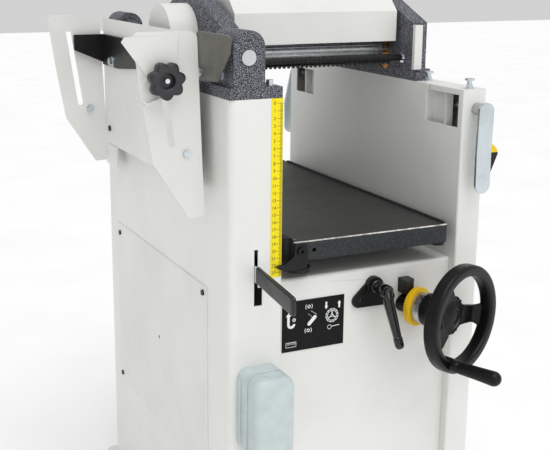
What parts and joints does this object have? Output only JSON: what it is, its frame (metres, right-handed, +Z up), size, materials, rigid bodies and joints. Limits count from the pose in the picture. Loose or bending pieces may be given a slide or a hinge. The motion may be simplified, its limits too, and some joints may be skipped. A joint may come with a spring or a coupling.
{
  "type": "thickness planer",
  "caption": "Floor-standing thickness planer: two-column white cabinet, rising cast table on a handwheel lift, cutterhead and feed rollers across the top, chip hood and side bracket.",
  "frame": {"origin": "on the floor under the middle of the thicknessing table", "axes": "+X across the table to the operator's right, +Y along the feed away from the operator, +Z up"},
  "size_m": [0.5741, 0.7419, 0.9475],
  "materials": {
    "cabinet_paint": "fine textured warm white powder coat",
    "panel_paint": "satin white powder coat",
    "casting_paint": "dark grey hammered enamel on cast iron",
    "ground_iron": "ground and oiled cast iron with black painted edges",
    "bright_steel": "ground steel",
    "zinc": "bright zinc plated",
    "black_plastic": "satin black moulded plastic",
    "black_enamel": "satin black enamel on steel",
    "black_gloss": "glossy black moulded plastic",
    "scale_film": "yellow printed film with black graduations",
    "dial_yellow": "yellow moulded ring with dark graduations",
    "label_film": "black printed film with white pictograms",
    "bronze": "sintered bronze",
    "rubber_black": "black rubber",
    "plastic_grey": "light blue grey moulded plastic",
    "red_plastic": "red moulded plastic",
    "green_plastic": "green moulded plastic",
    "motor_alloy": "painted finned alloy"
  },
  "bodies": {
    "frame": {"base_frame": "panel_paint", "left_column": "cabinet_paint", "right_column": "cabinet_paint", "front_panel": "cabinet_paint", "rear_panel": "cabinet_paint", "access_panels": "panel_paint", "panel_screws": "black_enamel", "left_casting": "casting_paint", "right_casting": "casting_paint", "hex_bolts": "zinc", "hinge_pins": "bright_steel", "hinge_plate": "black_enamel", "bracket_web": "panel_paint", "bracket_front": "panel_paint", "bracket_rear": "panel_paint", "height_scale": "scale_film", "control_label": "label_film", "lock_flange": "black_enamel", "lock_pad": "bronze", "index_block": "black_enamel", "shaft_boss": "black_plastic", "guide_housing": "casting_paint", "cutter_bearings": "bright_steel", "bearing_blocks": "bronze", "kickback_rod": "black_enamel", "head_covers": "panel_paint", "motor": "motor_alloy", "drive_belt": "rubber_black", "feed_chain": "bright_steel", "feed_gearbox": "casting_paint", "terminal_box": "plastic_grey", "terminal_lid": "plastic_grey", "switch_box": "black_plastic"},
    "table": {"table": "ground_iron", "lift_screw": "bright_steel", "guide_column": "bright_steel", "pointer": "black_enamel", "pointer_screw": "black_plastic", "table_buffers": "rubber_black"},
    "handwheel": {"wheel_shaft": "bright_steel", "dial": "dial_yellow", "handwheel": "black_plastic"},
    "crank": {"crank_handle": "black_plastic"},
    "lift_nut": {"lift_nut": "bronze"},
    "lock_lever": {"lock_lever": "black_gloss"},
    "feed_lever": {"feed_lever": "black_gloss"},
    "slide_plate": {"slide_plate": "panel_paint"},
    "star_knob": {"star_knob": "black_plastic"},
    "cutterhead": {"cutterhead": "bright_steel", "knives": "bright_steel"},
    "motor_rotor": {"motor_pulley": "bright_steel"},
    "roller_in": {"feed_roller_in": "bright_steel"},
    "roller_out": {"feed_roller_out": "rubber_black"},
    "feed_drive": {"feed_sprocket": "bright_steel"},
    "fingers": {"kickback_fingers": "black_enamel"},
    "hood": {"chip_hood": "panel_paint"},
    "latch": {"latch_shaft": "bright_steel", "latch_plates": "zinc"},
    "stop_button": {"stop_button": "red_plastic"},
    "start_button": {"start_button": "green_plastic"}
  },
  "joints": [
    {"name": "handwheel_turn", "type": "hinge", "parent": "frame", "child": "handwheel", "pos_m": [0.0657, -0.2555, 0.4325], "axis": [-0.3502, 0.9367, 0], "range_deg": [-630.5, 19440.5]},
    {"name": "table_lift", "type": "slide", "parent": "frame", "child": "table", "axis": [0, 0, 1], "range_m": [-0.007, 0.216]},
    {"name": "lift_nut_turn", "type": "hinge", "parent": "frame", "child": "lift_nut", "pos_m": [0, -0.07978, 0.4325], "axis": [0, 0, -1], "range_deg": [-630.5, 19440.5]},
    {"name": "crank_spin", "type": "hinge", "parent": "handwheel", "child": "crank", "pos_m": [0.07331, -0.37009, 0.37534], "axis": [0.3502, -0.9367, 0], "continuous": true},
    {"name": "lock_lever_turn", "type": "hinge", "parent": "frame", "child": "lock_lever", "pos_m": [0.0109, -0.2555, 0.4679], "axis": [0, 1, 0], "range_deg": [0, 90]},
    {"name": "feed_lever_swing", "type": "hinge", "parent": "frame", "child": "feed_lever", "pos_m": [-0.1814, -0.13, 0.512], "axis": [1, 0, 0], "range_deg": [-8, 11.5]},
    {"name": "slide_plate_travel", "type": "slide", "parent": "frame", "child": "slide_plate", "axis": [0.1392, 0, -0.9903], "range_m": [-0.024, 0.078]},
    {"name": "star_knob_turn", "type": "hinge", "parent": "slide_plate", "child": "star_knob", "pos_m": [-0.29244, -0.24, 0.77146], "axis": [0, -1, 0], "range_deg": [0, 360]},
    {"name": "cutterhead_spin", "type": "hinge", "parent": "frame", "child": "cutterhead", "pos_m": [0, 0, 0.808], "axis": [1, 0, 0], "continuous": true},
    {"name": "motor_spin", "type": "hinge", "parent": "frame", "child": "motor_rotor", "pos_m": [-0.1, 0.165, 0.19], "axis": [1, 0, 0], "continuous": true},
    {"name": "outfeed_roller_spin", "type": "hinge", "parent": "frame", "child": "roller_out", "pos_m": [0, 0.058, 0.785], "axis": [1, 0, 0], "continuous": true},
    {"name": "infeed_roller_spin", "type": "hinge", "parent": "frame", "child": "roller_in", "pos_m": [0, -0.058, 0.785], "axis": [1, 0, 0], "continuous": true},
    {"name": "feed_drive_spin", "type": "hinge", "parent": "frame", "child": "feed_drive", "pos_m": [-0.18, -0.03, 0.66], "axis": [1, 0, 0], "continuous": true},
    {"name": "fingers_swing", "type": "hinge", "parent": "frame", "child": "fingers", "pos_m": [0, -0.11, 0.7755], "axis": [1, 0, 0], "range_deg": [0, 40]},
    {"name": "hood_open", "type": "hinge", "parent": "frame", "child": "hood", "pos_m": [0, 0.09, 0.822], "axis": [-1, 0, 0], "range_deg": [0, 100]},
    {"name": "latch_swing", "type": "hinge", "parent": "frame", "child": "latch", "pos_m": [0.166, 0, 0.715], "axis": [0, 1, 0], "range_deg": [-80, 80]},
    {"name": "stop_press", "type": "slide", "parent": "frame", "child": "stop_button", "axis": [-0.9551, 0, -0.2964], "range_m": [0, 0.003], "stiffness_N_per_m": 800},
    {"name": "start_press", "type": "slide", "parent": "frame", "child": "start_button", "axis": [-0.921, 0, 0.3896], "range_m": [0, 0.002], "stiffness_N_per_m": 800}
  ],
  "couplings": [
    {"joint": "handwheel_turn", "follows": "table_lift", "rad_per_m": 1570.8},
    {"joint": "lift_nut_turn", "follows": "table_lift", "rad_per_m": 1570.8},
    {"joint": "motor_spin", "follows": "cutterhead_spin", "ratio": 0.73684},
    {"joint": "infeed_roller_spin", "follows": "outfeed_roller_spin", "ratio": 1},
    {"joint": "feed_drive_spin", "follows": "outfeed_roller_spin", "ratio": 1}
  ]
}
